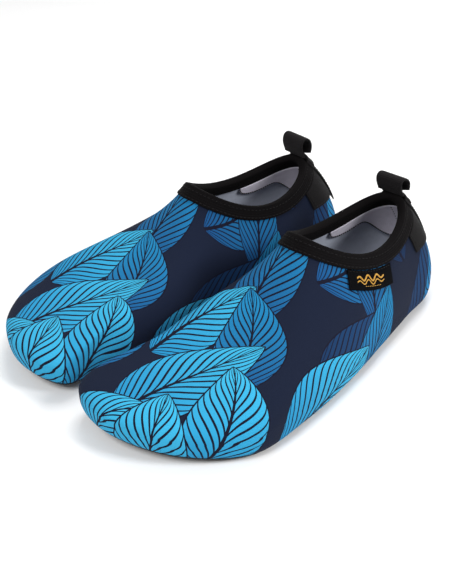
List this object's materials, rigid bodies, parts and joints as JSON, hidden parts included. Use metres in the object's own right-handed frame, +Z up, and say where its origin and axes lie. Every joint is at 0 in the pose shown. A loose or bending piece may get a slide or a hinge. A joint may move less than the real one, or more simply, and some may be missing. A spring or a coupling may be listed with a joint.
{
  "type": "pair of slip-on water shoes",
  "caption": "Pair of low slip-on water shoes with leaf-print stretch uppers, elastic collars, heel pull loops and thin rubber soles.",
  "frame": {"origin": "on the ground under the middle of the pair's bounding box", "axes": "+Z up, toes towards -Y, heels towards +Y, left shoe on +X, right shoe on -X"},
  "size_m": [0.2204, 0.2674, 0.0922],
  "materials": {
    "rubber": "matt moulded black rubber",
    "board": "off-white non-woven cloth",
    "foam": "matt dark grey foam",
    "foot_cloth": "matt grey brushed cloth",
    "print": "smooth stretch knit with a printed blue leaf pattern",
    "lining": "light grey brushed knit",
    "heel_lining": "darker grey brushed knit",
    "elastic": "black ribbed elastic",
    "webbing": "black woven polyester tape",
    "label": null
  },
  "bodies": {
    "right_shoe": {"right_outsole": "rubber", "right_strobel_board": "board", "right_insole_foam": "foam", "right_insole_cover": "foot_cloth", "right_upper": "print", "right_lining": "lining", "right_heel_lining": "heel_lining", "right_collar_binding": "elastic", "right_heel_patch": "elastic", "right_heel_tape": "webbing"},
    "left_shoe": {"left_outsole": "rubber", "left_strobel_board": "board", "left_insole_foam": "foam", "left_insole_cover": "foot_cloth", "left_upper": "print", "left_lining": "lining", "left_heel_lining": "heel_lining", "left_collar_binding": "elastic", "left_heel_patch": "elastic", "left_heel_tape": "webbing"},
    "right_loop": {"right_pull_loop": "webbing"},
    "left_loop": {"left_pull_loop": "webbing"},
    "right_label": {"right_side_label": "label"},
    "left_label": {"left_side_label": "label"}
  },
  "joints": [
    {"name": "shoes_apart", "type": "slide", "parent": "right_shoe", "child": "left_shoe", "axis": [1, 0, 0], "range_m": [0, 0.15]},
    {"name": "right_loop_fold", "type": "hinge", "parent": "right_shoe", "child": "right_loop", "pos_m": [-0.04342, 0.10223, 0.0782], "axis": [0.9984, -0.0567, 0], "range_deg": [-60, 55], "stiffness_Nm_per_rad": 0.001},
    {"name": "left_loop_fold", "type": "hinge", "parent": "left_shoe", "child": "left_loop", "pos_m": [0.04342, 0.10223, 0.0782], "axis": [0.9984, 0.0567, 0], "range_deg": [-60, 55], "stiffness_Nm_per_rad": 0.001},
    {"name": "right_label_lift", "type": "hinge", "parent": "right_shoe", "child": "right_label", "pos_m": [-0.07412, 0.02557, 0.0616], "axis": [-0.0561, 0.972, -0.2282], "range_deg": [0, 60]},
    {"name": "left_label_lift", "type": "hinge", "parent": "left_shoe", "child": "left_label", "pos_m": [0.07412, 0.02557, 0.0616], "axis": [-0.0561, -0.972, 0.2282], "range_deg": [0, 60]}
  ]
}
